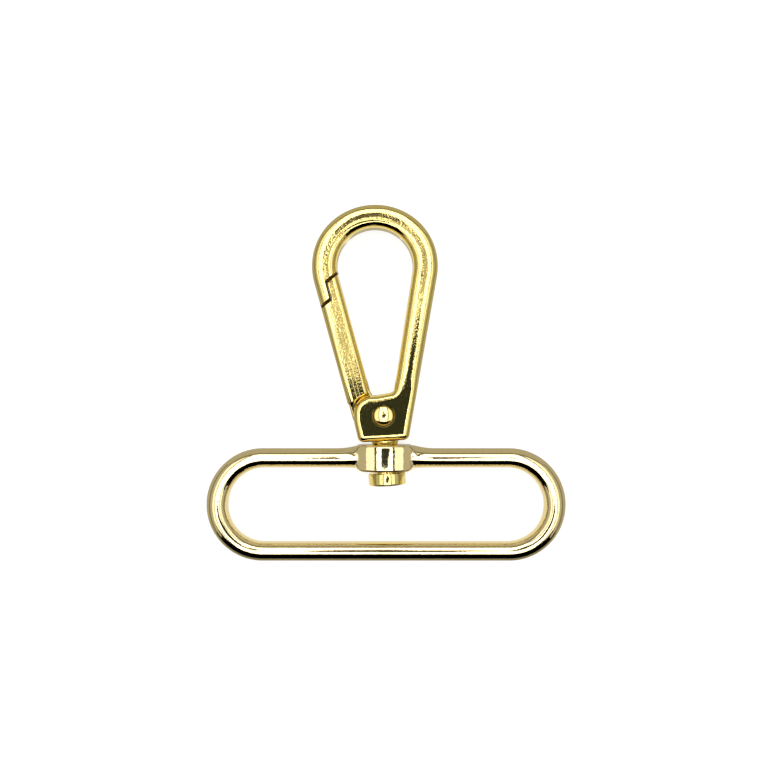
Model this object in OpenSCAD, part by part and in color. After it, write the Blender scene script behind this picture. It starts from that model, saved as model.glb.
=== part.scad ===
// Swivel snap hook for a flat strap, in millimetres.
// It lies flat: the strap slot is centred on the origin, its long way along X,
// the hook points along +Y, and every casting's middle plane is z = 0.

/* [Strap loop] */
// Clear width of the slot, for the strap
strap_w = 50; // [38:1:64]
// Clear height of the slot
strap_gap = 11.7; // [9:0.1:15]
// Diameter of the loop's two straight bars
bar_d = 3.05; // [2.4:0.05:3.8]
// Thickness of the loop at its round ends
end_d = 3.43; // [2.4:0.01:4.2]

/* [Swivel eye] */
// Width of the eye across the stud
eye_w = 9.5; // [8:0.1:12]
// Length of the eye along the stud
eye_l = 4.16; // [3:0.02:6]
// Thickness of the eye from face to face
eye_t = 6.2; // [5.5:0.1:7.6]
// Radius of the eye's rounded faces
eye_crown = 7.3; // [6:0.1:10]
// Corner radius of the eye beside the hook
eye_top_r = 1.0; // [0.4:0.1:1.4]
// Corner radius of the eye inside the slot
eye_foot_r = 1.8; // [0.5:0.1:2.2]
// How far the eye's centre lies below the bar's centre line
eye_drop = 0.2; // [0:0.05:0.6]
// How much the bars thicken where they run into the eye, on the radius
flare = 0.4; // [0.2:0.02:0.5]

/* [Swivel stud] */
// Diameter of the stud's shank
stud_d = 3.85; // [3:0.05:4.6]
// Diameter of the stud's flat head
stud_head_d = 5.9; // [5:0.1:7.2]
// Length of the stud's head
stud_head_l = 1.92; // [1:0.02:3]
// Diameter of the spigot pressed into the hook's base
spigot_d = 2.9; // [2:0.1:3.4]
// Running gap between the eye and the stud's head
head_gap = 0.24; // [0.2:0.02:0.5]
// Gap between the eye and the hook's base
base_gap = 0.87; // [0.5:0.01:1.4]
// Running play between the stud and its bore, on the radius
stud_play = 0.06; // [0.03:0.01:0.15]
// Lean of the hook that this play allows, in degrees
lean = 3.3; // [0:0.1:4]

/* [Hook] */
// Inside diameter of the hook's ring
ring_d = 12; // [9:0.1:15]
// Width of the ring and of the gate, seen from the face
leg_w = 3.9; // [3.3:0.05:4.8]
// Thickness of the hook from face to face
hook_t = 4.8; // [4.4:0.1:5.8]
// Distance from the gate's pin to the ring's centre
reach = 23.55; // [19:0.05:28]
// Lean of each leg away from the hook's axis, in degrees
leg_lean = 12.2; // [9:0.1:14]
// Lean of the spine, on the other side
spine_lean = 12.8; // [9:0.1:14]
// Radius of the legs' crowned faces
face_crown = 3; // [2.6:0.1:6]
// Radius of the legs' long edges
leg_edge_r = 1.4; // [0.8:0.05:1.5]

/* [Base] */
// Distance from the gate's pin down to the foot of the base
base_foot = 4; // [3.5:0.05:4.8]
// Distance from the gate's pin up to the top of the base
base_top = 3.3; // [2.8:0.05:3.9]
// Distance from the gate's pin out to the cheeks' free side
cheek_out = 4.7; // [4.2:0.05:5.6]
// Radius of the cheeks' shoulder beside the gate
cheek_r = 2.9; // [1.2:0.1:3.4]
// Radius of the base's rim
rim_r = 0.95; // [0.5:0.05:1.1]
// How far the base's flat faces lie below the legs' crowns
face_drop = 0.07; // [0.03:0.01:0.2]
// Size of the corner taken off the spine's foot
foot_cut = 0.5; // [0.2:0.05:0.9]

/* [Nose lap] */
// Width of the gate's finger, inside the nose
finger_w = 2.05; // [1.6:0.05:2.4]
// Length of the lapped fingers
lap_l = 2.74; // [1.8:0.02:3.6]
// Slope of the lap's two ends, in degrees
lap_slope = 25; // [16:1:32]
// Side gap between the fingers
lap_gap = 0.2; // [0.1:0.02:0.3]
// Gap at the fingers' sloped ends
lap_end_gap = 0.36; // [0.2:0.02:0.6]

/* [Gate] */
// Thickness of the gate's tongue between the cheeks
tongue_t = 2.2; // [1.8:0.05:2.7]
// Radius of the tongue's eye round the pin
tongue_r = 1.95; // [1.6:0.05:2.4]
// Play between the tongue and each cheek
tongue_play = 0.08; // [0.04:0.01:0.15]
// Distance from the pin to the gate's shoulder, along the gate
shoulder = 4.1; // [3.4:0.05:5]
// Slope of the gate's shoulder, in degrees
shoulder_slope = 19.4; // [10:0.2:24]

/* [Gate pin] */
// Diameter of the pin's shank
pin_d = 2; // [1.6:0.05:2.4]
// Diameter of the pin's domed heads
pin_head_d = 3.07; // [2.6:0.01:3.7]
// Height of the heads' straight edge
pin_head_l = 0.3; // [0.15:0.01:0.4]
// Height of the heads' dome
dome_h = 0.35; // [0.2:0.01:0.45]
// Ring gap between a head and its recess, on the radius
recess_gap = 0.26; // [0.1:0.02:0.35]
// Depth of the recess in each cheek
recess_l = 0.5; // [0.3:0.02:0.55]
// Play between the pin and the tongue, on the radius
pin_play = 0.05; // [0.03:0.01:0.1]

/* [Gate spring] */
// Diameter of the spring's wire
wire_d = 0.28; // [0.2:0.02:0.34]
// Distance from one turn of the coil to the next
coil_pitch = 0.3; // [0.24:0.02:0.36]
// Play between the coil and the pin, on the radius
coil_play = 0.12; // [0.06:0.02:0.2]

/* [Hidden] */
$fn = 48;
// Clearance of pieces that are pressed together
snug = 0.01;
// Extra length that carries a cut past the face it opens
past = 1;

// Strap loop
bar_r = bar_d / 2;
slot_r = strap_gap / 2;
bar_y = slot_r + bar_r;
loop_out_r = strap_gap / 2 + bar_d;
loop_end_x = strap_w / 2 + end_d - loop_out_r;
slot_end_x = strap_w / 2 - slot_r;
loop_sides = 20;
loop_steps = 24;

// Swivel
eye_y = bar_y - eye_drop;
stud_r = stud_d / 2;
bore_r = stud_r / cos(lean) + eye_l / 2 * tan(lean) + stud_play;

// Hook, in its own frame: the eye's centre at the origin and the hook's axis along +Y
foot_y = eye_l / 2 + base_gap;
pin_y = foot_y + base_foot;
ring_y = pin_y + reach;
ring_in = ring_d / 2;
ring_out = ring_in + leg_w;
pin_at = [0, pin_y];
gate_run = reach * cos(leg_lean);

// Base and the slot between its cheeks
base_t = hook_t - 2 * face_drop;
slot_t = tongue_t + 2 * tongue_play;
slot_r_pin = tongue_r + 0.25;
floor_y = pin_y - slot_r_pin;
spigot_l = floor_y - foot_y - snug;
recess_r = pin_head_d / 2 + recess_gap;
recess_z = base_t / 2 - recess_l;
fork_t = wire_d + 2.5 * coil_pitch + 0.1;

// Nose lap, in the gate leg's frame
lap_start = 0.5;
lap_rise = tan(lap_slope);

// Gate spring
coil_r = pin_d / 2 + coil_play + wire_d / 2;
coil_turn = 515;
coil_step = 20;
spring_leg = 2.9;
wire_sides = 8;

// A point of the gate's leg: out is counted from the ring's centre across the leg,
// and run is counted down the leg from the ring
function gate_point(out, run) =
    [run * sin(leg_lean) - out * cos(leg_lean),
     ring_y - out * sin(leg_lean) - run * cos(leg_lean)];
// How far right the spine's outer side lies at a height y
function spine_x(y) = (ring_out - (ring_y - y) * sin(spine_lean)) / cos(spine_lean);

// Stations of the strap loop, the outer outline a true stadium and the slot a slightly shorter one
function loop_end(side) = [for (k = [0 : loop_steps])
    let (a = side * 90 - 180 * k / loop_steps)
    let (shift = loop_end_x - slot_end_x)
    let (inner = sqrt(pow(slot_r, 2) - pow(shift * sin(a), 2)) - side * shift * cos(a))
    [[side * loop_end_x, 0], [cos(a), sin(a)], inner, loop_out_r - inner]];
loop_stations = concat(loop_end(1), loop_end(-1));

function round_section(d, sides) =
    [for (i = [0 : sides - 1]) [d / 2 + d / 2 * cos((i + 0.5) * 360 / sides), d / 2 * sin((i + 0.5) * 360 / sides)]];

// Faces of a tube of rings of n points each, closed on itself or capped at its ends
function tube_faces(rings, n, closed) = concat(
    closed ? [] : [[for (i = [0 : n - 1]) i], [for (i = [n - 1 : -1 : 0]) (rings - 1) * n + i]],
    [for (j = [0 : rings - (closed ? 1 : 2)]) for (i = [0 : n - 1]) for (half = [0, 1])
        let (a = j * n + i)
        let (b = j * n + (i + 1) % n)
        let (c = (j + 1) % rings * n + (i + 1) % n)
        let (d = (j + 1) % rings * n + i)
        half == 0 ? [a, c, b] : [a, d, c]]);

function unit(v) = v / norm(v);
function left(v) = [-v.y, v.x];

// Centre of the arc that rounds corner i of a convex outline of [x, y, radius] corners
function at(c, i) = [c[(i + len(c)) % len(c)].x, c[(i + len(c)) % len(c)].y];
function edge_dir(c, i) = unit(at(c, i + 1) - at(c, i));
function edge_out(c, i) = -left(edge_dir(c, i));
function arc_centre(c, i) =
    let (d0 = edge_dir(c, i - 1))
    let (d1 = edge_dir(c, i))
    let (turn = acos(d0 * d1))
    at(c, i) + c[i][2] * (tan(turn / 2) * d1 + left(d1));

// A convex outline with round corners, drawn in by inset
module rounded(c, inset = 0) {
    polygon([for (i = [0 : len(c) - 1]) for (k = [-1, 0])
        arc_centre(c, i) + (c[i][2] - inset) * edge_out(c, i + k)]);
    for (i = [0 : len(c) - 1])
        if (c[i][2] - inset > 0.001)
            translate(arc_centre(c, i))
                circle(c[i][2] - inset);
}

module plate(t) {
    translate([0, 0, -t / 2])
        linear_extrude(t)
            children();
}

// What is drawn in the hook's own frame, put where the leaning hook lies
module hook_frame() {
    translate([0, eye_y, 0])
        rotate([0, 0, lean])
            children();
}

// The lap's step in the gate leg's frame: across is counted from the leg's inner wall
function lap_step(across, along) = [
    [-past, lap_start - (finger_w + past) * lap_rise + along],
    [finger_w + across, lap_start + along],
    [finger_w + across, lap_start + lap_l + along],
    [leg_w + past, lap_start + lap_l + (leg_w - finger_w + past) * lap_rise + along]];
function on_gate(p) = gate_point(ring_in + p.x, p.y);

// Room for the gate's finger, cut out of the hook's nose
module nose_cut() {
    cut = concat(lap_step(lap_gap / 2, -lap_end_gap / 2),
        [[leg_w + past, gate_run / 2], [-past, gate_run / 2]]);
    plate(hook_t + 2 * past)
        polygon([for (p = cut) on_gate(p)]);
}

// Slot between the cheeks, open above and on the gate's side
module tongue_slot() {
    wide = cheek_out + 3 * past;
    plate(slot_t) {
        translate(pin_at)
            circle(slot_r_pin);
        translate([-wide, pin_y])
            square([wide + slot_r_pin, base_top + past]);
        translate([-wide, floor_y])
            square([wide, slot_r_pin]);
    }
}

// A straight length of leg on one side, from one distance below the ring to another
module leg_bar(side, from, to, shrink) {
    turn = side < 0 ? leg_lean : -spine_lean;
    translate([0, ring_y])
        rotate([0, 0, turn])
            translate([side * (ring_in + leg_w / 2), -from])
                rotate([90, 0, 0])
                    linear_extrude(to - from)
                        leg_profile(shrink);
}

// The round end of the hook
module ring() {
    translate([0, ring_y])
        rotate([0, 0, -spine_lean])
            rotate_extrude(angle = 180 + leg_lean + spine_lean)
                translate([ring_in + leg_w / 2, 0])
                    leg_profile(0);
}

// The base before its cuts: its outline, with round rims along the foot, the top and the free side
module base_block() {
    top_y = pin_y + base_top;
    foot_x = -(ring_out - (ring_y - foot_y) * sin(leg_lean)) / cos(leg_lean);
    right = cheek_out + 2 * rim_r;
    intersection() {
        plate(hook_t)
            rounded([
                [foot_x, foot_y, rim_r],
                [spine_x(foot_y) - rim_r / 2, foot_y, rim_r / 2],
                [spine_x(top_y) - rim_r / 2, top_y, rim_r / 2],
                [-cheek_out + 0.1, top_y, cheek_r],
                [-cheek_out, pin_y - 1.3, 2.2]]);
        translate([-right, 0, 0])
            rotate([90, 0, 90])
                linear_extrude(2 * right)
                    rounded([
                        [foot_y, -base_t / 2, rim_r],
                        [top_y, -base_t / 2, rim_r],
                        [top_y, base_t / 2, rim_r],
                        [foot_y, base_t / 2, rim_r]]);
        translate([foot_x, foot_y, 0])
            rotate([0, 0, leg_lean])
                translate([0, -past, 0])
                    rotate([-90, 0, 0])
                        linear_extrude(base_foot + base_top + 3 * past)
                            rounded([
                                [0, -base_t / 2 - 0.01, rim_r],
                                [3 * cheek_out, -base_t / 2 - 0.01, rim_r],
                                [3 * cheek_out, base_t / 2 + 0.01, rim_r],
                                [0, base_t / 2 + 0.01, rim_r]]);
    }
}

// The spine, down to the foot of the base
module spine() {
    outer = ring_out + past;
    intersection() {
        leg_bar(1, 0, (ring_y - foot_y) / cos(spine_lean), 0.015);
        plate(hook_t + past)
            polygon([[0, foot_y], [spine_x(foot_y) - foot_cut, foot_y], [outer, foot_y + outer],
                [outer, ring_y], [0, ring_y]]);
    }
}

module hook_body() {
    color("#cdb55f")
        hook_frame()
            difference() {
                union() {
                    ring();
                    leg_bar(-1, 0, 2 * lap_l, 0.015);
                    spine();
                    base_block();
                }
                nose_cut();
                tongue_slot();
                translate(pin_at) {
                    cylinder(d = pin_d + 2 * snug, h = hook_t + 2 * past, center = true);
                    for (side = [0, 180])
                        rotate([side, 0, 0])
                            translate([0, 0, recess_z])
                                cylinder(r = recess_r, h = recess_l + past);
                }
                translate([0, foot_y - past, 0])
                    rotate([-90, 0, 0])
                        cylinder(d = spigot_d + 2 * snug, h = floor_y - foot_y + 2 * past);
            }
}

// Outline of the gate's tongue, from inside the gate down and round the pin
module tongue_outline() {
    low = on_gate([leg_w, gate_run - 0.2]);
    rounded([
        [low.x, low.y, 0.7],
        [pin_at.x + 0.2, pin_y - tongue_r, tongue_r * 0.9],
        [pin_at.x + tongue_r, pin_y + 0.3, tongue_r * 0.5],
        [on_gate([0.4, gate_run - shoulder - past]).x, on_gate([0.4, gate_run - shoulder - past]).y, 0.1],
        [on_gate([leg_w, gate_run - shoulder - past]).x, on_gate([leg_w, gate_run - shoulder - past]).y, 0.1]]);
    translate(pin_at)
        circle(tongue_r);
}

// Exact section of the gate's leg, centred, width along X and thickness along Y
module leg_profile(shrink) {
    r = leg_edge_r - shrink;
    b = asin((leg_w / 2 - leg_edge_r) / (face_crown - leg_edge_r));
    zc = hook_t / 2 - face_crown + (face_crown - leg_edge_r) * cos(b);
    face = (face_crown - shrink) * sin(b);
    for (side = [0, 180])
        rotate(side) {
            intersection() {
                translate([0, hook_t / 2 - face_crown])
                    circle(face_crown - shrink);
                translate([-face, 0])
                    square([2 * face, hook_t]);
            }
            for (x = [-1, 1])
                translate([x * (leg_w / 2 - leg_edge_r), zc])
                    circle(r);
        }
    square([leg_w - 2 * shrink, 2 * zc], center = true);
    square([leg_w - 2 * leg_edge_r, 2 * zc + r], center = true);
}

// The gate's leg from its finger to its shoulder
module gate_leg() {
    keep = concat(lap_step(-lap_gap / 2, lap_end_gap / 2),
        [[leg_w + past, gate_run - shoulder + (leg_w + past) * tan(shoulder_slope)],
         [-past, gate_run - shoulder - past * tan(shoulder_slope)]]);
    intersection() {
        translate(on_gate([leg_w / 2, -past]))
            rotate([0, 0, leg_lean])
                rotate([90, 0, 0])
                    linear_extrude(gate_run)
                        leg_profile(0);
        plate(hook_t + past)
            polygon([for (p = keep) on_gate(p)]);
    }
}

module gate() {
    color("#c9b063")
        hook_frame()
            difference() {
                union() {
                    gate_leg();
                    plate(tongue_t)
                        tongue_outline();
                }
                translate(pin_at)
                    cylinder(r = pin_d / 2 + pin_play, h = hook_t, center = true);
                spring_room();
            }
}

// Room for the coil and its upper leg, between the two ears of the tongue
module spring_room() {
    plate(fork_t) {
        translate(pin_at)
            circle(coil_r + wire_d);
        translate(pin_at)
            rotate(25)
                translate([-coil_r - wire_d / 2 - 0.04, 0])
                    square([1.4 * coil_r, spring_leg + 0.1]);
        translate([pin_at.x, pin_y - tongue_r - past])
            square([tongue_r + past, tongue_r + past]);
        translate(pin_at)
            square([tongue_r + past, spring_leg + past]);
    }
}

// Domed head of the gate's pin, standing on z = 0
module pin_head() {
    dome_r = (pow(pin_head_d / 2, 2) + pow(dome_h, 2)) / (2 * dome_h);
    cylinder(d = pin_head_d, h = pin_head_l);
    intersection() {
        translate([0, 0, pin_head_l + dome_h - dome_r])
            sphere(dome_r);
        cylinder(d = pin_head_d, h = pin_head_l + 2 * dome_h);
    }
}

module gate_pin() {
    color("#cdb45e")
        hook_frame()
            translate(pin_at) {
                cylinder(d = pin_d, h = 2 * recess_z, center = true);
                for (side = [0, 180])
                    rotate([side, 0, 0])
                        translate([0, 0, recess_z])
                            pin_head();
            }
}

// Path of the spring's wire about the pin: up the slot's back wall, round, and up the gate
function coil_point(a) = [coil_r * cos(a), -coil_r * sin(a), coil_pitch * (a - coil_turn / 2) / 360];
function coil_tangent(a) = [-sin(a), -cos(a), 0];
function spring_path() = concat(
    [coil_point(0) - spring_leg * coil_tangent(0)],
    [for (a = [0 : coil_step : coil_turn]) coil_point(a)],
    [coil_point(coil_turn), coil_point(coil_turn) + spring_leg * coil_tangent(coil_turn)]);

module gate_spring() {
    path = spring_path();
    last = len(path) - 1;
    color("#b9b9b4")
        hook_frame()
            translate(pin_at)
                polyhedron(
                    points = [for (k = [0 : last])
                        let (t = path[min(k + 1, last)] - path[max(k - 1, 0)])
                        let (side = left(unit([t.x, t.y])))
                        for (i = [0 : wire_sides - 1])
                            let (a = i * 360 / wire_sides)
                            path[k] + wire_d / 2 * [side.x * cos(a), side.y * cos(a), sin(a)]],
                    faces = tube_faces(last + 1, wire_sides, false));
}

// Section of the eye across the stud: two shallow round faces and two flat sides
module eye_section() {
    intersection() {
        square([eye_w, eye_t], center = true);
        for (side = [-1, 1])
            intersection_for (face = [-1, 1])
                translate([0, face * (eye_t / 2 - eye_crown)])
                    circle(eye_crown);
    }
}

module swivel_eye() {
    half = [eye_w / 2, eye_l / 2];
    intersection() {
        translate([0, eye_y + half.y, 0])
            rotate([90, 0, 0])
                linear_extrude(eye_l)
                    eye_section();
        plate(eye_t + past)
            translate([0, eye_y])
                rounded([
                    [-half.x, -half.y, eye_foot_r],
                    [half.x, -half.y, eye_foot_r],
                    [half.x, half.y, eye_top_r],
                    [-half.x, half.y, eye_top_r]]);
    }
    for (side = [-1, 1])
        translate([side * (half.x - 0.3), bar_y, 0])
            rotate([0, side * 90, 0])
                cylinder(r1 = bar_r + flare, r2 = bar_r - flare / 3, h = 4 * flare);
}

module strap_loop() {
    section = round_section(1, loop_sides);
    color("#d9c492")
        difference() {
            union() {
                polyhedron(
                    points = [for (s = loop_stations) for (p = section)
                        [s[0].x + (s[2] + s[3] * p.x) * s[1].x, s[0].y + (s[2] + s[3] * p.x) * s[1].y, s[3] * p.y]],
                    faces = tube_faces(len(loop_stations), loop_sides, true));
                swivel_eye();
            }
            translate([0, eye_y - eye_l, 0])
                rotate([-90, 0, 0])
                    cylinder(r = bore_r, h = 2 * eye_l);
        }
}

module swivel_stud() {
    head_y = -eye_l / 2 - head_gap;
    color("#cfb866")
        hook_frame()
            rotate([-90, 0, 0]) {
                translate([0, 0, head_y - stud_head_l])
                    cylinder(d = stud_head_d, h = stud_head_l);
                translate([0, 0, head_y])
                    cylinder(r = stud_r, h = foot_y - snug - head_y);
                translate([0, 0, foot_y - snug])
                    cylinder(d = spigot_d, h = spigot_l);
            }
}

strap_loop();
hook_body();
gate();
gate_pin();
gate_spring();
swivel_stud();
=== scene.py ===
# %% [markdown]
# # A swivel snap hook
# A swivel snap hook joins a bag strap to a ring. It is two zinc castings with a gold plating, a
# turned stud that lets them swivel, and a gate that a small spring holds shut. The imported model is
# loaded first. It is the fixed frame that every piece of this scene is built around.

# %% Load the frame
import math

import bmesh
import bpy
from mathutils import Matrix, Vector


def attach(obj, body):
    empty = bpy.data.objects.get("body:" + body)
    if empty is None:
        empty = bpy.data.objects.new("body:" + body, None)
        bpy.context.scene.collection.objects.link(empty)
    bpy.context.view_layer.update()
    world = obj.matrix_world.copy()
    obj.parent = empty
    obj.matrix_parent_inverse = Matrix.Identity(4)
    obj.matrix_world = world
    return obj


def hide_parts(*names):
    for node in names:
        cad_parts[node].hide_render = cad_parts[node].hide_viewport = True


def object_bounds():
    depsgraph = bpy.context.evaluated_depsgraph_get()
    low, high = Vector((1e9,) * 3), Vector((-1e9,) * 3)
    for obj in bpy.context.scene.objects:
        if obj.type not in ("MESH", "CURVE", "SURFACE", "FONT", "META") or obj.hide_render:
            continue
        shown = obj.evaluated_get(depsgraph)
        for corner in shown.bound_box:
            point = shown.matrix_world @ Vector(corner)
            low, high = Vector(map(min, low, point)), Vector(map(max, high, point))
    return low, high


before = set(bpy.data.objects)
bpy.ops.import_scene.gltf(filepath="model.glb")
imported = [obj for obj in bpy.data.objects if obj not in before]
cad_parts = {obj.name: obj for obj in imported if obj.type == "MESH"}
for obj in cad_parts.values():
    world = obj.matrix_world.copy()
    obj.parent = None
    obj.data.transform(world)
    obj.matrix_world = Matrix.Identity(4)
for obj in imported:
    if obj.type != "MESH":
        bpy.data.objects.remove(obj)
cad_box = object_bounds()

# %% [markdown]
# ## Helpers for modelling
# Small castings are easiest to draw in millimetres, as on a workshop drawing, and are brought down
# to metres when they are done. Blender's operators act on what is selected, so a few helpers select
# parts of a mesh by their place.

# %% Helpers that select by place
MM = 0.001


def only(*objects):
    bpy.ops.object.select_all(action="DESELECT")
    for obj in objects:
        obj.select_set(True)
    bpy.context.view_layer.objects.active = objects[0]


def named(name):
    """Give the newest object its name."""
    obj = bpy.context.object
    obj.name = obj.data.name = name
    return obj


def edit(obj):
    only(obj)
    bpy.ops.object.mode_set(mode="EDIT")


def done():
    bpy.ops.object.mode_set(mode="OBJECT")


def middle(part):
    verts = [part] if isinstance(part, bmesh.types.BMVert) else part.verts
    return sum((v.co for v in verts), verts[0].co * 0) / len(verts)


def pick(obj, test, kind="VERT"):
    """Select the parts of a mesh in edit mode whose middle passes a test."""
    bpy.ops.mesh.select_mode(type=kind)
    bpy.ops.mesh.select_all(action="DESELECT")
    mesh = bmesh.from_edit_mesh(obj.data)
    parts = {"VERT": mesh.verts, "EDGE": mesh.edges, "FACE": mesh.faces}[kind]
    found = [part for part in parts if test(middle(part))]
    for part in found:
        part.select_set(True)
    mesh.select_flush_mode()
    bmesh.update_edit_mesh(obj.data)
    return len(found)


def polygon(name, points):
    """A flat face with these corners, in the XY plane."""
    bpy.ops.mesh.primitive_circle_add(vertices=len(points), fill_type="NGON")
    obj = named(name)
    for v, (x, y) in zip(obj.data.vertices, points):
        v.co = (x, y, 0)
    edit(obj)
    bpy.ops.mesh.select_all(action="SELECT")
    bpy.ops.mesh.normals_make_consistent(inside=False)
    mesh = bmesh.from_edit_mesh(obj.data)
    mesh.normal_update()
    if mesh.faces[:][0].normal.z < 0:
        bpy.ops.mesh.flip_normals()
    done()
    return obj


def prism(name, points, low, high):
    """A flat face pulled up into a block, for cutting."""
    obj = polygon(name, points)
    edit(obj)
    bpy.ops.mesh.select_all(action="SELECT")
    bpy.ops.transform.translate(value=(0, 0, low))
    bpy.ops.mesh.extrude_region_move(TRANSFORM_OT_translate={"value": (0, 0, high - low)})
    bpy.ops.mesh.select_all(action="SELECT")
    bpy.ops.mesh.normals_make_consistent(inside=False)
    done()
    return obj


print("helpers ready")

# %% [markdown]
# Cuts are made as in a machine shop: a cutter is put where the material goes, and a boolean
# modifier takes it away. Real edges are never razor sharp, so each cut edge is broken a little.

# %% Helpers that cut, break edges and spin
def apply_modifiers(obj):
    only(obj)
    for modifier in list(obj.modifiers):
        bpy.ops.object.modifier_apply(modifier=modifier.name)


def boolean(obj, tool, operation="DIFFERENCE"):
    step = obj.modifiers.new("boolean", "BOOLEAN")
    step.operation = operation
    step.solver = "EXACT"
    step.object = tool
    apply_modifiers(obj)
    bpy.data.objects.remove(tool)


def break_edges(obj, width, segments=2, angle=40):
    step = obj.modifiers.new("edges", "BEVEL")
    step.limit_method = "ANGLE"
    step.angle_limit = math.radians(angle)
    step.width = width
    step.segments = segments
    step.use_clamp_overlap = False
    apply_modifiers(obj)


def turned(name, profile, axis, centre=(0, 0, 0), steps=96):
    """Spin a profile of (radius, height) points round the Y or Z axis, as on a lathe."""
    bpy.ops.mesh.primitive_circle_add(vertices=len(profile), fill_type="NOTHING")
    obj = named(name)
    for v, (r, h) in zip(obj.data.vertices, profile):
        v.co = (r, h, 0) if axis == "Y" else (r, 0, h)
    edit(obj)
    pick(obj, lambda p: p.x < 1e-6, "EDGE")
    bpy.ops.mesh.delete(type="EDGE_FACE")
    bpy.ops.mesh.select_all(action="SELECT")
    bpy.ops.mesh.spin(steps=steps, angle=2 * math.pi, center=(0, 0, 0),
                      axis=(0, 1, 0) if axis == "Y" else (0, 0, 1))
    bpy.ops.mesh.select_all(action="SELECT")
    bpy.ops.mesh.remove_doubles(threshold=1e-4)
    bpy.ops.mesh.normals_make_consistent(inside=False)
    bpy.ops.transform.translate(value=centre)
    done()
    return obj


print("cutting helpers ready")

# %% [markdown]
# ## Sizes
# Most sizes repeat the construction's own, in millimetres, and a few are nearer to what the
# reflections show. The hook leans a little in its eye, so its castings are drawn upright in a frame
# of their own and are leaned over when they are done.

# %% Sizes of the castings
LEAN = 3.3
EYE_Y = 7.175
PIN_Y = 6.95
RING_Y = 30.5
FOOT_Y = 2.95
RING_IN = 6.0
LEG_W = 3.9
RING_OUT = RING_IN + LEG_W
LEG_LEAN = math.radians(12.2)
SPINE_LEAN = math.radians(13.2)
HOOK_T = 4.8

# A level face larger than this, in square millimetres, is shaded flat, as a flat of the casting.
BIG_FACE = 2
# So is a face with more corners than this, because a long outline can't be shaded smoothly.
MANY_CORNERS = 12


def finish_piece(obj, leaned, smooth=35):
    """Bring a piece from the drawing to its place, in metres, with its object at the origin."""
    only(obj)
    if leaned:
        obj.rotation_euler = (0, 0, math.radians(LEAN))
        obj.location = (0, EYE_Y, 0)
    bpy.ops.object.transform_apply(location=True, rotation=True, scale=True)
    obj.scale = (MM, MM, MM)
    bpy.ops.object.transform_apply(location=True, rotation=True, scale=True)
    bpy.ops.object.shade_smooth_by_angle(angle=math.radians(smooth))
    for face in obj.data.polygons:
        level = abs(face.normal.z) > 0.9995 and face.area > BIG_FACE * MM ** 2
        if level or len(face.vertices) > MANY_CORNERS:
            face.use_smooth = False
    if not obj.data.materials:
        obj.data.materials.append(None)
    size = [round(1000 * s, 2) for s in obj.dimensions]
    print(obj.name, "size in mm", size, "faces", len(obj.data.polygons))


def leg_point(side, out, run):
    """A point of a leg: out from the ring's centre, and run down the leg from the ring."""
    return (side * (out * math.cos(LEG_LEAN) - run * math.sin(LEG_LEAN)),
            RING_Y - out * math.sin(LEG_LEAN) - run * math.cos(LEG_LEAN))


print("hook", HOOK_T, "mm thick")

# %% [markdown]
# ## The section of the castings
# Ring and spine share one section: upright walls, a round edge and a face that is crowned just a
# little. The crown is what draws the long bright and dark lines along polished metal. The gate has
# tighter edges and an almost flat face, and the base has a tight rim and a flat face. A section
# becomes a list of steps: how far in from the outline, and how high.

# %% Steps from the wall to the face
EDGE_R = 1.25
CROWN_R = 7.5
GATE_EDGE_R = 1.0
GATE_CROWN_R = 60.0
RIM_R = 0.95
FACE_IN = 1.66


def leg_steps(edge_r, crown_r):
    """Steps round the edge and then up the crown, with a last narrow one that stays level."""
    slope = math.asin((LEG_W / 2 - edge_r) / (crown_r - edge_r))
    centre = HOOK_T / 2 - crown_r + (crown_r - edge_r) * math.cos(slope)
    steps = []
    for k in range(13):
        a = math.pi / 2 + (slope - math.pi / 2) * k / 12
        steps.append((edge_r * (1 - math.sin(a)), centre + edge_r * math.cos(a)))
    inner = math.asin((LEG_W / 2 - FACE_IN) / crown_r)
    for k in range(1, 5):
        a = slope + (inner - slope) * k / 4
        steps.append((LEG_W / 2 - crown_r * math.sin(a),
                      HOOK_T / 2 - crown_r + crown_r * math.cos(a)))
    steps.append((FACE_IN + 0.03, steps[-1][1]))
    return steps


LEG_STEPS = leg_steps(EDGE_R, CROWN_R)
GATE_STEPS = leg_steps(GATE_EDGE_R, GATE_CROWN_R)


def rim_height(inward):
    """The base's height so far in from its outline."""
    short = max(RIM_R - inward, 0)
    return LEG_STEPS[-1][1] - RIM_R + math.sqrt(RIM_R ** 2 - short ** 2)


CORNER_R = min((d for d, z in LEG_STEPS), key=lambda d: abs(d - RIM_R))
print("section steps:", len(LEG_STEPS), "corner radius", round(CORNER_R, 3))

# %% [markdown]
# One routine turns a flat outline into a casting: the face is inset step by step while it rises,
# the outline is pulled down to the middle plane as the wall, and the half is mirrored. Where the
# round corners of the base shrink to a point, their vertices are merged before the inset goes on.

# %% From an outline to a casting
BASE_ENDS, LEGS_BEGIN = 9.6, 13.5
MERGE_REACH = 0.3
LEVEL_PLAY = 2e-3


def base_share(y):
    """1 on the base, 0 on the legs, and smooth between."""
    t = min(max((LEGS_BEGIN - y) / (LEGS_BEGIN - BASE_ENDS), 0), 1)
    return t * t * (3 - 2 * t)


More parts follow.
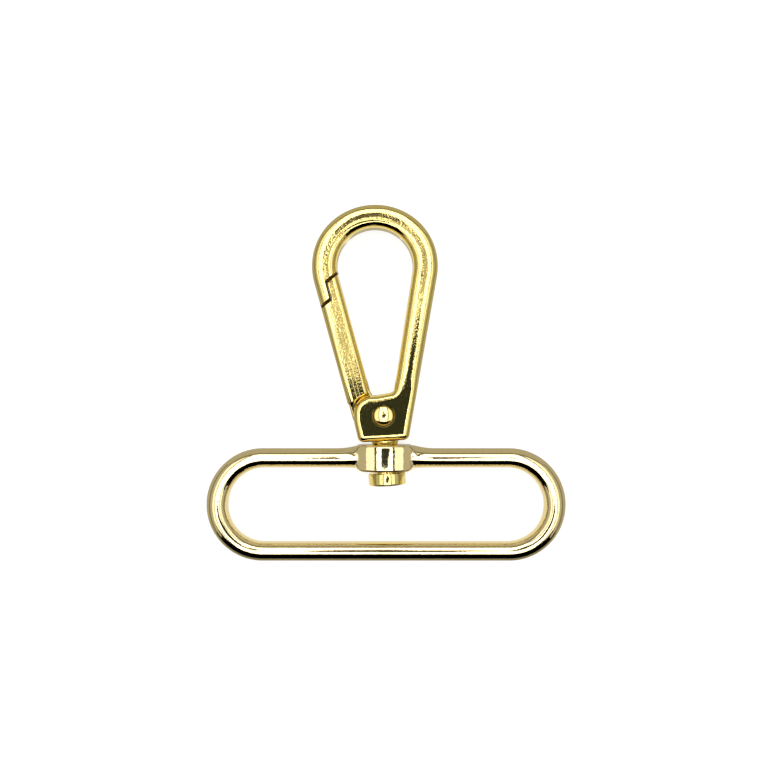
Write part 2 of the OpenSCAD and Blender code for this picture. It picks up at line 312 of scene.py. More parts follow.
def cast_from(obj, steps, has_base, small_corners=()):
    """Raise a flat outline into a whole casting, by the steps of its section."""
    edit(obj)
    bpy.ops.mesh.select_mode(type="FACE")
    bpy.ops.mesh.select_all(action="SELECT")
    bpy.ops.transform.translate(value=(0, 0, steps[0][1]))
    for (before, low), (inward, high) in zip(steps, steps[1:]):
        bpy.ops.mesh.inset(thickness=inward - before, depth=0, use_even_offset=True,
                           use_boundary=True)
        bpy.ops.transform.translate(value=(0, 0, high - low))
        if abs(inward - CORNER_R) < 1e-6:
            for x, y in small_corners:
                pick(obj, lambda p: math.dist(p, (x, y, high)) < MERGE_REACH)
                bpy.ops.mesh.merge(type="CENTER")
            pick(obj, lambda p: abs(p.z - high) < LEVEL_PLAY, "FACE")
    done()
    if has_base:
        rim = {round(z, 3): rim_height(d) for d, z in LEG_STEPS}
        for v in obj.data.vertices:
            share = base_share(v.co.y)
            key = min(rim, key=lambda z: abs(z - v.co.z))
            v.co.z += share * (rim[key] - v.co.z)
    edit(obj)
    bpy.ops.mesh.select_mode(type="EDGE")
    bpy.ops.mesh.select_all(action="DESELECT")
    bpy.ops.mesh.select_non_manifold()
    bpy.ops.mesh.extrude_edges_move(TRANSFORM_OT_translate={"value": (0, 0, -0.5)})
    bpy.ops.transform.resize(value=(1, 1, 0), center_override=(0, 0, 0))
    done()
    step = obj.modifiers.new("other half", "MIRROR")
    step.use_axis = (False, False, True)
    step.use_mirror_merge = True
    step.merge_threshold = 0.001
    apply_modifiers(obj)
    edit(obj)
    bpy.ops.mesh.select_all(action="SELECT")
    bpy.ops.mesh.normals_make_consistent(inside=False)
    done()


print("casting routine ready")

# %% [markdown]
# ## The hook
# The hook is one casting: the base with its two cheeks, the spine, the ring and the nose. Its
# outline is drawn as a flat face. The spine is pulled out of the base, the ring is spun round its
# centre, and the nose is pulled straight on, past the place where the lap will be cut.

# %% Outline of the hook
def line_at(start, end, t):
    """A point on the line from start to end, at this share of its length."""
    return [a + (b - a) * t for a, b in zip(start, end)]


spine_start = (RING_OUT * math.cos(SPINE_LEAN), RING_Y - RING_OUT * math.sin(SPINE_LEAN))


def spine_outer(y):
    """The point of the spine's outer side at this height."""
    run = (spine_start[1] - y) / math.cos(SPINE_LEAN)
    return (spine_start[0] - run * math.sin(SPINE_LEAN), y)


CROOK = (1.84, 10.55)
FOOT_LEFT, FOOT_RIGHT = (-4.10, FOOT_Y), spine_outer(FOOT_Y)
TOP_BEND, TOP_LEFT, SIDE_BEND = (-0.6, 10.2), (-4.65, 10.25), (-4.68, 6.2)
NOSE_RUN, RING_STEPS = 7, 96
# The spine begins with short steps, where its section turns into the base's.
SPINE_SHARES = (0.03, 0.06, 0.09, 0.12, 0.15, 0.18, 1)
hook = polygon("hook_casting", [FOOT_LEFT, FOOT_RIGHT, spine_outer(CROOK[1]), CROOK, TOP_BEND,
                                TOP_LEFT, SIDE_BEND])
edit(hook)
pick(hook, lambda p: p.x > CROOK[0] + 0.01 and abs(p.y - CROOK[1]) < 0.05, "EDGE")
inner_start = (RING_IN * math.cos(SPINE_LEAN), RING_Y - RING_IN * math.sin(SPINE_LEAN))
for t in SPINE_SHARES:
    bpy.ops.mesh.extrude_edges_move()
    mesh = bmesh.from_edit_mesh(hook.data)
    a, b = sorted((v for v in mesh.verts if v.select), key=lambda v: v.co.x)
    a.co.xy = line_at(CROOK, inner_start, t)
    b.co.xy = line_at(spine_outer(CROOK[1]), spine_start, t)
    bmesh.update_edit_mesh(hook.data)
bpy.ops.mesh.spin(steps=RING_STEPS, angle=-(math.pi + SPINE_LEAN + LEG_LEAN),
                  center=(0, RING_Y, 0), axis=(0, 0, 1))
nose_run = (NOSE_RUN * math.sin(LEG_LEAN), -NOSE_RUN * math.cos(LEG_LEAN), 0)
bpy.ops.mesh.extrude_edges_move(TRANSFORM_OT_translate={"value": nose_run})
bpy.ops.mesh.select_all(action="SELECT")
bpy.ops.mesh.remove_doubles(threshold=1e-4)
bpy.ops.mesh.select_mode(type="FACE")
bpy.ops.mesh.select_all(action="SELECT")
bpy.ops.mesh.dissolve_faces()
done()
print("outline corners:", len(hook.data.vertices), "faces", len(hook.data.polygons))

# %% [markdown]
# The corners of the outline are rounded one by one, each by its own radius, and then the casting
# is raised from it.

# %% Round the corners and raise the casting
def round_corner(obj, corner, radius, turn, segments):
    """Round one corner of the outline, where the outline turns by this many degrees."""
    edit(obj)
    count = pick(obj, lambda p: math.dist(p.xy, corner) < 0.05)
    bpy.ops.mesh.bevel(offset=radius * math.tan(math.radians(turn) / 2), segments=segments,
                       affect="VERTICES", offset_type="OFFSET")
    done()
    return count


rounded = [round_corner(hook, *corner) for corner in (
    (FOOT_LEFT, CORNER_R, 79.9, 8),
    (FOOT_RIGHT, CORNER_R, 76.8, 8),
    (SIDE_BEND, 2.2, 10.6, 5),
    (TOP_LEFT, 2.85, 90.3, 24),
    (TOP_BEND, 4.0, 8.9, 6),
    (CROOK, 0.7, 69.6, 10))]
print("rounded corners:", rounded)
if hook.data.polygons[0].normal.z < 0:
    edit(hook)
    bpy.ops.mesh.select_all(action="SELECT")
    bpy.ops.mesh.flip_normals()
    done()
foot_centres = [(x, FOOT_Y + CORNER_R) for x in (-3.248, 2.904)]
cast_from(hook, LEG_STEPS, True, foot_centres)
print("hook casting faces:", len(hook.data.polygons))

# Polishing has taken this much off the top of the ring, on its outer side.
RING_TOP_LOSS = 0.28
for v in hook.data.vertices:
    out = math.hypot(v.co.x, v.co.y - RING_Y)
    if v.co.y > RING_Y and out > RING_IN:
        v.co.y -= RING_TOP_LOSS * (out - RING_IN) / LEG_W * ((v.co.y - RING_Y) / out) ** 2

# %% [markdown]
# Now the hook is machined, first the lap that takes the gate's finger. Its line is dark and bold on
# the real hook. A wide gap would let the white paper through, so it is a fine gap at the bottom of
# a wider groove. Its walls get a slot of their own, for a satin metal whose dark brown colour is
# painted shade of the deep groove.

# %% Cut the lap
FINGER_W, LAP_L, LAP_GAP, GROOVE_W, GROOVE_Z = 2.05, 2.74, 0.1, 0.34, 1.2
LAP_RISE = math.tan(math.radians(25))
LAP_START = 0.5
# Cutters reach this far from the middle plane, well past both faces.
PAST_FACES = 4


def on_leg(across, along):
    """A point of the gate's leg, counted from its inner wall and from the ring."""
    return leg_point(-1, RING_IN + across, along)


def lap_step(across, along):
    """The lap's stepped line, moved across and along the leg by half a gap."""
    side = FINGER_W + across
    return [(-1, LAP_START - (side + 1) * LAP_RISE + along), (side, LAP_START + along),
            (side, LAP_START + LAP_L + along),
            (LEG_W + 1, LAP_START + LAP_L + (LEG_W + 1 - side) * LAP_RISE + along)]


def two_slots(obj, index):
    """Give a piece two slots, polished and satin with painted shade, and put all its faces in one of
    them.
    """
    for _ in range(2):
        obj.data.materials.append(None)
    for face in obj.data.polygons:
        face.material_index = index


def cut_lap(obj, side, far):
    """Cut a fine gap right through, and a wider groove into both faces, down to a ledge."""
    two_slots(obj, 0)
    for gap, low, high in ((LAP_GAP, -PAST_FACES, PAST_FACES), (GROOVE_W, GROOVE_Z, PAST_FACES),
                           (GROOVE_W, -PAST_FACES, -GROOVE_Z)):
        room = lap_step(side * gap / 2, -side * gap / 2) + [(LEG_W + 1, far), (-1, far)]
        tool = prism("cutter", [on_leg(*p) for p in room], low, high)
        # The walls this cutter leaves take the second slot, whose dark brown colour is painted
        # shade.
        two_slots(tool, 1)
        boolean(obj, tool)
    break_edges(obj, 0.05, 2)


cut_lap(hook, side=1, far=12)
print("hook faces with the lap cut:", len(hook.data.polygons))

# %% [markdown]
# Then come the slot for the gate's tongue, the blind hole for the swivel stud, and last the pin's
# hole, with a round recess at both faces. The recess brings its own broken edge, as a conical
# cutter does, because a bevel would stumble over the fine faces that it crosses.

# %% Cut the slot and the holes
SLOT_T, SLOT_R, SLOT_OPEN_X = 2.36, 2.2, -8
slot = [(SLOT_OPEN_X, PIN_Y - SLOT_R), (0, PIN_Y - SLOT_R)]
slot += [(SLOT_R * math.sin(math.radians(a)), PIN_Y - SLOT_R * math.cos(math.radians(a)))
         for a in range(10, 91, 10)]
slot += [(SLOT_R, PIN_Y + 6), (SLOT_OPEN_X, PIN_Y + 6)]
boolean(hook, prism("cutter", slot, -SLOT_T / 2, SLOT_T / 2))

STUD_HOLE_R, STUD_HOLE_L = 1.46, 4
stud_hole = [(0, 0), (STUD_HOLE_R, 0), (STUD_HOLE_R, STUD_HOLE_L), (0, STUD_HOLE_L)]
boolean(hook, turned("cutter", stud_hole, "Y", (0, 2, 0)))
break_edges(hook, 0.05)

RECESS_R, RECESS_Z, PIN_R, EDGE_BREAK = 1.75, 1.83, 1.0, 0.05
face_z = rim_height(FACE_IN)
hole = [(0, -PAST_FACES), (RECESS_R + PAST_FACES - face_z + EDGE_BREAK, -PAST_FACES),
        (RECESS_R, EDGE_BREAK - face_z), (RECESS_R, -RECESS_Z), (PIN_R, -RECESS_Z)]
hole += [(r, -z) for r, z in reversed(hole)]
boolean(hook, turned("cutter", hole, "Z", (0, PIN_Y, 0)))
finish_piece(hook, leaned=True)

# %% [markdown]
# ## The gate
# The gate is as wide and thick as the ring, so that the closed hook looks like one piece, but its
# face is almost flat. It begins as a plain strip, is cast by the same routine, and is then cut to
# its lap and its shoulder, which slopes because the cheeks' round corner turns below it.

# %% Cast the gate's leg and cut its ends
SHOULDER, SHOULDER_SLOPE = 4.5, math.radians(19.4)
GATE_RUN = (RING_Y - PIN_Y) * math.cos(LEG_LEAN)
STRIP_TOP, STRIP_FOOT = -4, 24

gate = polygon("gate_casting", [on_leg(0, STRIP_TOP), on_leg(0, STRIP_FOOT),
                                on_leg(LEG_W, STRIP_FOOT), on_leg(LEG_W, STRIP_TOP)])
cast_from(gate, GATE_STEPS, False)
cut_lap(gate, side=-1, far=-6)


def shoulder_line(across):
    """How far down the leg the shoulder lies, at this place across it."""
    return GATE_RUN - SHOULDER + across * math.tan(SHOULDER_SLOPE)


below = [(-1, shoulder_line(-1)), (LEG_W + 1, shoulder_line(LEG_W + 1)),
         (LEG_W + 1, STRIP_FOOT + 2), (-1, STRIP_FOOT + 2)]
boolean(gate, prism("cutter", [on_leg(*p) for p in below], -PAST_FACES, PAST_FACES))
break_edges(gate, 0.07)
print("gate leg faces:", len(gate.data.polygons))

# %% [markdown]
# Below the shoulder a thin tongue goes in between the cheeks, with an eye for the pin. It starts as
# a flat outline too, and is forked for the spring. It is thickest where it leaves the shoulder,
# because the casting slopes down to it in a ramp, which catches the light beside the cheeks.

# %% Add the tongue
TONGUE_T, TONGUE_R, TONGUE_BORE_R, TONGUE_INSET, FORK_T = 2.2, 1.95, 1.05, 0.12, 1.14


def arc(x, y, r, start, end, count):
    """Points of an arc, from one angle to another in degrees."""
    step = math.radians(end - start) / count
    return [(x + r * math.cos(math.radians(start) + step * k),
             y + r * math.sin(math.radians(start) + step * k)) for k in range(count + 1)]


low_left = on_leg(LEG_W - TONGUE_INSET, GATE_RUN - 0.4)
top_left = on_leg(LEG_W - TONGUE_INSET, GATE_RUN - SHOULDER - 0.2)
top_right = on_leg(0.3, GATE_RUN - SHOULDER - 1.2)
outline = [top_left, low_left] + arc(0, PIN_Y, TONGUE_R, 236, 360, 20) + [(-1.5, 10.0), top_right]
tongue = prism("tongue", outline, -TONGUE_T / 2, TONGUE_T / 2)
break_edges(tongue, 0.3, 3, 60)
pin_hole = [(0, -PAST_FACES), (TONGUE_BORE_R, -PAST_FACES), (TONGUE_BORE_R, PAST_FACES),
            (0, PAST_FACES)]
boolean(tongue, turned("cutter", pin_hole, "Z", (0, PIN_Y, 0)))
fork = [(-0.6, PIN_Y + 1.4), (-0.6, PIN_Y - 3), (3, PIN_Y - 3), (3, PIN_Y + 4), (0.5, PIN_Y + 4)]
boolean(tongue, prism("cutter", fork, -FORK_T / 2, FORK_T / 2))

RAMP_TOP_T, RAMP_LOW_SHARE, RAMP_INSIDE, RAMP_L = 3.5, 0.62, 0.5, 0.75
ramp_in, ramp_out = 0.35, LEG_W - 0.3
ramp_corners = [on_leg(w, shoulder_line(w) + down) for w, down in (
    (ramp_in, -RAMP_INSIDE), (ramp_out, -RAMP_INSIDE), (ramp_out, RAMP_L), (ramp_in, RAMP_L))]
ramp = prism("ramp", ramp_corners, -RAMP_TOP_T / 2, RAMP_TOP_T / 2)
edit(ramp)
pick(ramp, lambda p: any(math.dist(p.xy, low) < 0.01 for low in ramp_corners[2:]))
bpy.ops.transform.resize(value=(1, 1, RAMP_LOW_SHARE), center_override=(0, 0, 0))
done()
break_edges(ramp, 0.25, 3, 30)
boolean(tongue, ramp, "UNION")
boolean(gate, tongue, "UNION")
finish_piece(gate, leaned=True)

# %% [markdown]
# ## Pin and stud
# Both are turned parts, so each is a profile spun round its axis. The pin is a rivet with a low
# dome at both faces. The stud's flat head sits inside the slot, its shank goes through the eye, and
# its neck shows for less than a millimetre below the hook.

# %% Turn the pin and the stud
HEAD_R, DOME_H = 1.535, 0.35
dome_r = (HEAD_R ** 2 + DOME_H ** 2) / (2 * DOME_H)
head_top = RECESS_Z + 0.3
DOME_STEPS = 12
dome = []
for k in range(DOME_STEPS + 1):
    a = math.asin(HEAD_R * 0.96 / dome_r) * k / DOME_STEPS
    dome.append((dome_r * math.sin(a), head_top + DOME_H - dome_r + dome_r * math.cos(a)))
dome += [(HEAD_R * 0.99, head_top - 0.03), (HEAD_R, head_top - 0.09), (HEAD_R, RECESS_Z + 0.01),
         (PIN_R - 0.01, RECESS_Z + 0.01)]
pin = turned("gate_pin_rivet", [(r, z) for r, z in dome] + [(r, -z) for r, z in reversed(dome)],
             "Z", (0, PIN_Y, 0))
finish_piece(pin, leaned=True)

stud_head, HEAD_L, SHANK_R, NECK_R, SPIGOT_R, SPIGOT_END = -2.14, 1.92, 1.925, 2.16, 1.45, 4.7
low_edge = [(0, 0), (2.66, 0), (2.84, 0.06), (2.93, 0.2), (2.95, 0.32)]
profile = [(r, stud_head - HEAD_L + h) for r, h in low_edge]
profile += [(2.95, stud_head - 0.16), (2.90, stud_head - 0.04), (2.80, stud_head)]
profile += [(SHANK_R, stud_head), (SHANK_R, 2.0), (1.96, 2.25), (2.02, 2.5), (2.10, 2.7)]
profile += [(NECK_R, 2.86), (NECK_R, FOOT_Y - 0.01), (SPIGOT_R, FOOT_Y - 0.01)]
profile += [(SPIGOT_R, SPIGOT_END), (0, SPIGOT_END)]
stud = turned("swivel_stud_turned", profile, "Y")
finish_piece(stud, leaned=True)

# %% [markdown]
# ## The strap loop
# The loop is a wire oval, so it starts as a torus. The torus is split into two halves, the halves
# are moved apart, and straight bars bridge them, in many short rings.

# %% Stretch a torus into the oval
END_X, LOOP_R, WIRE_R = 19.34, 7.375, 1.525

bpy.ops.mesh.primitive_torus_add(major_radius=LOOP_R, minor_radius=WIRE_R,
                                 major_segments=128, minor_segments=48)
loop = named("strap_loop_casting")
edit(loop)
pick(loop, lambda p: p.x > 0, "FACE")
bpy.ops.mesh.split()
bpy.ops.transform.translate(value=(END_X, 0, 0))
pick(loop, lambda p: p.x < 0, "FACE")
bpy.ops.transform.translate(value=(-END_X, 0, 0))
for side in (1, -1):
    bpy.ops.mesh.select_mode(type="EDGE")
    bpy.ops.mesh.select_all(action="DESELECT")
    bpy.ops.mesh.select_non_manifold()
    mesh = bmesh.from_edit_mesh(loop.data)
    for e in mesh.edges:
        if e.select and middle(e).y * side < 0:
            e.select_set(False)
    bmesh.update_edit_mesh(loop.data)
    bpy.ops.mesh.bridge_edge_loops(number_cuts=95)
done()
print("loop faces:", len(loop.data.polygons))

# %% [markdown]
# The real casting is thicker at its round ends, and its upper bar swells where it runs into the
# eye. A curve with a taper could do this, but the rings are there already, so they are resized one
# by one.

# %% Resize its rings
END_SWELL, BAR_SWELL, BAR_LIFT = 0.19, 0.2, 0.18
EYE_SIDE_X, FLARE_L = 4.4, 3.4


def resize_ring(test, centre, factor):
    pick(loop, test)
    bpy.ops.transform.resize(value=(factor, factor, factor), center_override=centre)


flare_rings = sorted({round(v.co.x, 2) for v in loop.data.vertices
                      if v.co.y > 5 and 3.5 < abs(v.co.x) < EYE_SIDE_X + FLARE_L})
edit(loop)
for side in (1, -1):
    for k in range(-31, 32):
        a = math.pi * k / 64
        x, y = side * (END_X + LOOP_R * math.cos(a)), LOOP_R * math.sin(a)
        swell = 1 + END_SWELL * math.cos(a) / WIRE_R
        resize_ring(lambda p: side * p.x > END_X + 1e-3 and
                    abs(math.atan2(p.y, side * p.x - END_X) - a) < 0.004, (x, y, 0), swell)
for x in flare_rings:
    near = min(1, 1 - (abs(x) - EYE_SIDE_X) / FLARE_L) ** 2
    resize_ring(lambda p: abs(p.x - x) < 0.02 and p.y > 5, (x, LOOP_R, 0), 1 + BAR_SWELL * near)
    bpy.ops.transform.translate(value=(0, BAR_LIFT * near, 0))
done()
print("rings resized beside the eye:", len(flare_rings))

# %% [markdown]
# The eye is a block with crowned faces. Its outline gets four round corners, its rim is rounded by
# insets, it is sliced across so that the crown has something to bend, and then every vertex rises
# to the crown.

# %% The eye and its bore
EYE_W, EYE_L, EYE_T, EYE_CROWN, EYE_RIM = 9.9, 4.2, 6.2, 7.3, 0.42
EYE_FOOT_R, EYE_TOP_R, BORE_R = 1.7, 1.15, 2.11
EYE_SHIFT = (-0.22, 0.2)

half_w, half_l = EYE_W / 2, EYE_L / 2
eye = polygon("eye", [(-half_w, -half_l), (half_w, -half_l), (half_w, half_l), (-half_w, half_l)])
for x, y, r in ((-half_w, -half_l, EYE_FOOT_R), (half_w, -half_l, EYE_FOOT_R),
                (half_w, half_l, EYE_TOP_R), (-half_w, half_l, EYE_TOP_R)):
    round_corner(eye, (x, y), r, 90, 10)
edit(eye)
bpy.ops.mesh.select_mode(type="FACE")
bpy.ops.mesh.select_all(action="SELECT")
bpy.ops.transform.translate(value=(0, 0, -EYE_RIM))
for k in range(8):
    a, b = (math.radians(90 * j / 8) for j in (k, k + 1))
    bpy.ops.mesh.inset(thickness=EYE_RIM * (math.cos(a) - math.cos(b)), use_boundary=True)
    bpy.ops.transform.translate(value=(0, 0, EYE_RIM * (math.sin(b) - math.sin(a))))
for k in range(-31, 32):
    bpy.ops.mesh.select_all(action="SELECT")
    bpy.ops.mesh.bisect(plane_co=(k * half_w / 32, 0, 0), plane_no=(1, 0, 0))
done()
for v in eye.data.vertices:
    v.co.z += EYE_T / 2 - EYE_CROWN + math.sqrt(EYE_CROWN ** 2 - v.co.x ** 2)
edit(eye)
bpy.ops.mesh.select_mode(type="EDGE")
bpy.ops.mesh.select_all(action="DESELECT")
bpy.ops.mesh.select_non_manifold()
bpy.ops.mesh.extrude_edges_move(TRANSFORM_OT_translate={"value": (0, 0, -0.3)})
bpy.ops.transform.resize(value=(1, 1, 0), center_override=(0, 0, 0))
done()
step = eye.modifiers.new("other half", "MIRROR")
step.use_axis = (False, False, True)
apply_modifiers(eye)
edit(eye)
bpy.ops.mesh.select_all(action="SELECT")
bpy.ops.mesh.normals_make_consistent(inside=False)
bpy.ops.transform.translate(value=(EYE_SHIFT[0], EYE_Y + EYE_SHIFT[1], 0))
done()
boolean(loop, eye, "UNION")
bore = [(0, -4), (BORE_R, -4), (BORE_R, 4), (0, 4)]
boolean(loop, turned("cutter", bore, "Y", (0, EYE_Y, 0)))
break_edges(loop, 0.06)
finish_piece(loop, leaned=False)

# %% [markdown]
# ## Finishes
# Every colour is a hex value as a picture editor shows it, and one function turns it to the linear
# numbers that Blender works with. Another small function adds a node with its settings and links.

# %% Helpers for materials
def linear(code):
    """The linear colour of an sRGB hex code."""
    channels = [int(code[k:k + 2], 16) / 255 for k in (1, 3, 5)]
    return [c / 12.92 if c <= 0.04045 else ((c + 0.055) / 1.055) ** 2.4 for c in channels] + [1]


def add(material, kind, settings=(), links=()):
    node = material.node_tree.nodes.new(kind)
    for key, value in dict(settings).items():
        if key in node.inputs:
            node.inputs[key].default_value = value
        else:
            setattr(node, key, value)
    for key, source in dict(links).items():
        material.node_tree.links.new(source, node.inputs[key])
    return node


def waves_per_metre(size_mm):
    return 1 / (size_mm * MM)


print("white is", linear("#ffffff")[0])

# %% [markdown]
# Polished metal shows little of its own: it shows the room. What makes it real is how it departs
# from a mirror. A plated casting was tumbled and polished before it was plated, so it has a soft
# unevenness about a millimetre wide, a fine orange peel, and a mottled gloss on its flat faces.
# The grain of such a surface is finer still, and is drawn as coarse as it needs to show here.

# %% Plated castings and turned pieces
DIMPLE_MM, PEEL_MM, GRAIN_MM = 2.4, 0.34, 0.22


def plated(name, colour, deep, wave, peel, gloss, rough_spread):
    """Polished metal, whose colour and gloss vary a little. Wave and peel are heights in metres."""
    m = bpy.data.materials.new(name)
    m.use_nodes = True
    m.node_tree.nodes.clear()
    place = add(m, "ShaderNodeTexCoord").outputs["Object"]
    soft = add(m, "ShaderNodeTexNoise", {"Scale": waves_per_metre(DIMPLE_MM), "Detail": 2.0},
               {"Vector": place}).outputs["Fac"]
    fine = add(m, "ShaderNodeTexNoise", {"Scale": waves_per_metre(PEEL_MM), "Detail": 1.0},
               {"Vector": place}).outputs["Fac"]
    grain = add(m, "ShaderNodeTexNoise", {"Scale": waves_per_metre(GRAIN_MM), "Detail": 2.0},
                {"Vector": place}).outputs["Fac"]
    tint = add(m, "ShaderNodeMix", {"data_type": "RGBA"}, {"Factor": fine})
    tint.inputs[6].default_value = linear(colour)
    tint.inputs[7].default_value = linear(deep)
    rough = add(m, "ShaderNodeMapRange", {"From Min": 0.35, "From Max": 0.7, "To Min": gloss,
                                          "To Max": gloss + rough_spread}, {"Value": grain})
    bent = add(m, "ShaderNodeBump", {"Strength": 1.0, "Distance": wave}, {"Height": soft})
    peeled = add(m, "ShaderNodeBump", {"Strength": 1.0, "Distance": peel},
                 {"Height": fine, "Normal": bent.outputs["Normal"]})
    shader = add(m, "ShaderNodeBsdfPrincipled", {"Metallic": 1.0},
                 {"Base Color": tint.outputs[2], "Roughness": rough.outputs["Result"],
                  "Normal": peeled.outputs["Normal"]})
    add(m, "ShaderNodeOutputMaterial", links={"Surface": shader.outputs["BSDF"]})
    return m


# Yellow gold over a tumbled zinc casting: a clear mirror with a soft swell, so lines waver in it.
hook_plating = plated("yellow_gold_plating", "#f3df94", "#e6cd7a", 24e-6, 9e-6, 0.04, 0.07)
# Champagne gold over a smoother casting: paler, and its long lines stay straight.
loop_plating = plated("champagne_gold_plating", "#f2e0b0", "#e8d49c", 8e-6, 6e-6, 0.04, 0.08)
# Gold over a turned part: the truest surface, with a slightly softer gloss.
turned_plating = plated("turned_gold_plating", "#f4e298", "#e8d07e", 6e-6, 3e-6, 0.06, 0.08)
# Gold over metal that no polishing wheel reaches is satin. Its dark brown colour is painted shade of
# the deep groove, so the lap's line is dark.
lap_painted_shade_plating = plated("satin_plating_with_painted_shade_in_the_lap", "#a17b3a", "#7a5924", 12e-6, 6e-6, 0.42, 0.15)
# Bare spring steel drawn through a die: an even grey with a soft sheen.
spring_wire = plated("drawn_spring_steel", "#b5b5b1", "#a3a29c", 0.2e-6, 0.2e-6, 0.2, 0.1)
print("finishes:", [m.name for m in bpy.data.materials])

# %% [markdown]
# Each piece takes its finish and rides on the body that carries it. The spring is already right in
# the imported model, so it keeps its node and only gets its steel.

# %% Dress the pieces
for piece, finish, body, node, slot_name in (
        (hook, hook_plating, "hook", "hook_body", "hook_gold"),
        (gate, hook_plating, "gate", "gate", "hook_gold"),
        (pin, turned_plating, "hook", "gate_pin", "hook_gold"),
        (stud, turned_plating, "hook", "swivel_stud", "hook_gold"),
        (loop, loop_plating, "loop", "strap_loop", "loop_gold")):
    piece.data.materials[0] = finish
    if len(piece.data.materials) > 1:
        # The second slot holds the lap's walls, which are painted dark brown as the groove's shade.
        piece.data.materials[1] = lap_painted_shade_plating
        painted_shade_faces = sum(face.material_index == 1 for face in piece.data.polygons)
        print(piece.name, "faces in the lap:", painted_shade_faces)
    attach(piece, body)
    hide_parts(node)

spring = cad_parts["gate_spring"]
spring.data.materials.clear()
spring.data.materials.append(spring_wire)
print("dressed")

# %% [markdown]
# ## The studio
# The piece lies on white paper. Most of what the metal shows is the studio: a wide white ceiling
# with a dark seam at each side and a few dimmer places, the dark camera and its lens over the
# middle, a black opening towards the viewer and a cream sweep behind. Each is a card that only
# reflections and light see. Its place is worked out backwards, from where a dark or bright patch
# lies on the metal.

# %% Cards over and around the piece
def emitter(name, colour, strength):
    m = bpy.data.materials.new(name)
    m.use_nodes = True
    m.node_tree.nodes.clear()
    glow = add(m, "ShaderNodeEmission", {"Color": colour, "Strength": strength})
    add(m, "ShaderNodeOutputMaterial", links={"Surface": glow.outputs["Emission"]})
    return m


def card(name, colour, strength, centre, size, turn=(0, 0, 0)):
    """A studio card, in millimetres, that the camera itself doesn't see."""
    bpy.ops.mesh.primitive_plane_add(size=1)
    obj = named(name)
    obj.scale = (size[0] * MM, size[1] * MM, 1)
    obj.rotation_euler = [math.radians(t) for t in turn]
    obj.location = [c * MM for c in centre]
    bpy.ops.object.transform_apply(location=True, rotation=True, scale=True)
    obj.data.materials.append(emitter(name, colour, strength))
    obj.visible_camera = False
    return obj


# Colours of light, which are linear already.
WHITE, WARM, CREAM = (1, 1, 1, 1), (1, 0.98, 0.88, 1), (1, 0.97, 0.84, 1)
BLACK, OLIVE = (0, 0, 0, 1), (0.84, 1, 0.82, 1)
CEILING_Z, CEILING_Y, CEILING_L = 400, 83, 616
UNDER_CEILING_Z = CEILING_Z - 4
for side in (-1, 1):
    card(f"ceiling_near_{side}", WHITE, 3.0, (side * 76, CEILING_Y, CEILING_Z), (148, CEILING_L))
    card(f"ceiling_seam_{side}", BLACK, 0.0, (side * 170, CEILING_Y, CEILING_Z + 5),
         (50, CEILING_L))
    card(f"ceiling_far_{side}", WHITE, 1.45, (side * 318, CEILING_Y, CEILING_Z), (256, CEILING_L))
    card(f"side_{side}", WARM, 0.55, (side * 560, 0, 330), (300, 900), (0, 90, 0))
card("opening", BLACK, 0.0, (0, -480, 400), (1500, 880), (90, 0, 0))
card("sweep", CREAM, 0.5, (0, 620, 150), (1500, 330), (90, 0, 0))
card("ceiling_dim", WARM, 0.6, (34, 76, UNDER_CEILING_Z), (44, 66))
card("ceiling_dim_left", WARM, 0.7, (-22, 52, UNDER_CEILING_Z), (28, 70))
card("ceiling_dark", WARM, 0.1, (-12, 124, UNDER_CEILING_Z), (50, 76))

CAMERA_GLOW = 0.035
LENS_PLACE, LENS_R = (0.017, 0.018, 0.16), 0.022
card("camera_body", OLIVE, CAMERA_GLOW, (0, -1, 162), (50, 42))
bpy.ops.mesh.primitive_circle_add(vertices=64, radius=LENS_R, fill_type="NGON",
                                  location=LENS_PLACE)
lens = named("lens")
bpy.ops.object.transform_apply(location=True)
lens.data.materials.append(emitter("lens", OLIVE, CAMERA_GLOW))
lens.visible_camera = False
print("cards:", len([m for m in bpy.data.materials if "ceiling" in m.name]), "on the ceiling")

# %% [markdown]
# A white floor under metal would light every lower edge. Real paper close to an object is shaded by
# it, so the paper is seen by the camera and lit as usual, and the metal sees three dimmer cards in
# its place: the open floor, and the lighter patches inside the slot and inside the hook.

# %% Paper floor and backdrop
STUDIO_R = 1.6
floor_z = cad_box[0].z
bpy.ops.mesh.primitive_circle_add(vertices=96, radius=STUDIO_R, fill_type="NGON",
                                  location=(0, 0, floor_z))
floor = named("paper_floor")
bpy.ops.object.transform_apply(location=True)
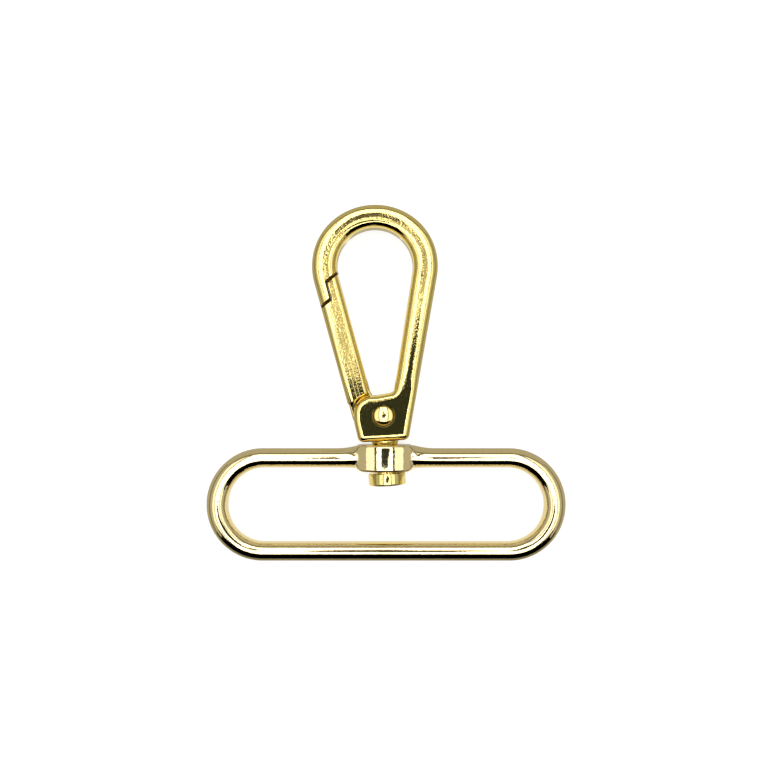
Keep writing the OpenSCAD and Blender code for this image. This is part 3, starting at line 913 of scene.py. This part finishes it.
# Matt white paper, lit so evenly that it glows: its own light stands for the soft boxes' fill.
paper = bpy.data.materials.new("white_paper")
paper.use_nodes = True
paper.node_tree.nodes.clear()
paper_shader = add(paper, "ShaderNodeBsdfPrincipled", {
    "Base Color": linear("#a0a0a0"), "Roughness": 0.9, "Emission Color": linear("#ffffff"),
    "Emission Strength": 0.8})
add(paper, "ShaderNodeOutputMaterial", links={"Surface": paper_shader.outputs["BSDF"]})
floor.data.materials.append(paper)
floor.visible_glossy = False
for k, (glow, (x, y), size) in enumerate((
        (0.5, (0, 690), (3000, 1404)),
        (0.95, (0, 0), (49, 10.5)),
        (0.95, (-2, 31), (8, 22)))):
    height = floor_z / MM - 0.05 + 0.01 * k
    mirrored = card(f"paper_in_reflections_{k}", CREAM, glow, (x, y, height), size)
    mirrored.visible_diffuse = False

bpy.ops.mesh.primitive_uv_sphere_add(segments=48, ring_count=24, radius=STUDIO_R)
backdrop = named("backdrop")
backdrop.data.materials.append(emitter("backdrop", WHITE, 0.95))
for ray in ("diffuse", "glossy", "transmission", "volume_scatter", "shadow"):
    setattr(backdrop, "visible_" + ray, False)
print("floor at", round(floor_z / MM, 2), "mm")

# %% [markdown]
# The world gives the dim olive of the room between the cards. The camera looks straight down, from
# where the photograph was taken, and the plain view transform keeps the paper white.

room = bpy.data.worlds.new("dim_room")
room.use_nodes = True
room.node_tree.nodes.clear()
sky = add(room, "ShaderNodeBackground", {"Color": (1, 0.98, 0.78, 1), "Strength": 0.27})
add(room, "ShaderNodeOutputWorld", links={"Surface": sky.outputs["Background"]})
bpy.context.scene.world = room
bpy.context.scene.view_settings.view_transform = "Standard"
bpy.context.scene.view_settings.look = "None"

CAMERA_X, CAMERA_Y, CAMERA_Z, VIEW_W, SENSOR_W = -0.325, 19.07, 150, 121.7, 36
bpy.ops.object.camera_add(location=(CAMERA_X * MM, CAMERA_Y * MM, CAMERA_Z * MM),
                          rotation=(0, 0, 0))
camera = bpy.context.object
camera.data.sensor_width = SENSOR_W
camera.data.lens = SENSOR_W * CAMERA_Z / VIEW_W
camera.data.clip_start = 0.005
bpy.context.scene.camera = camera
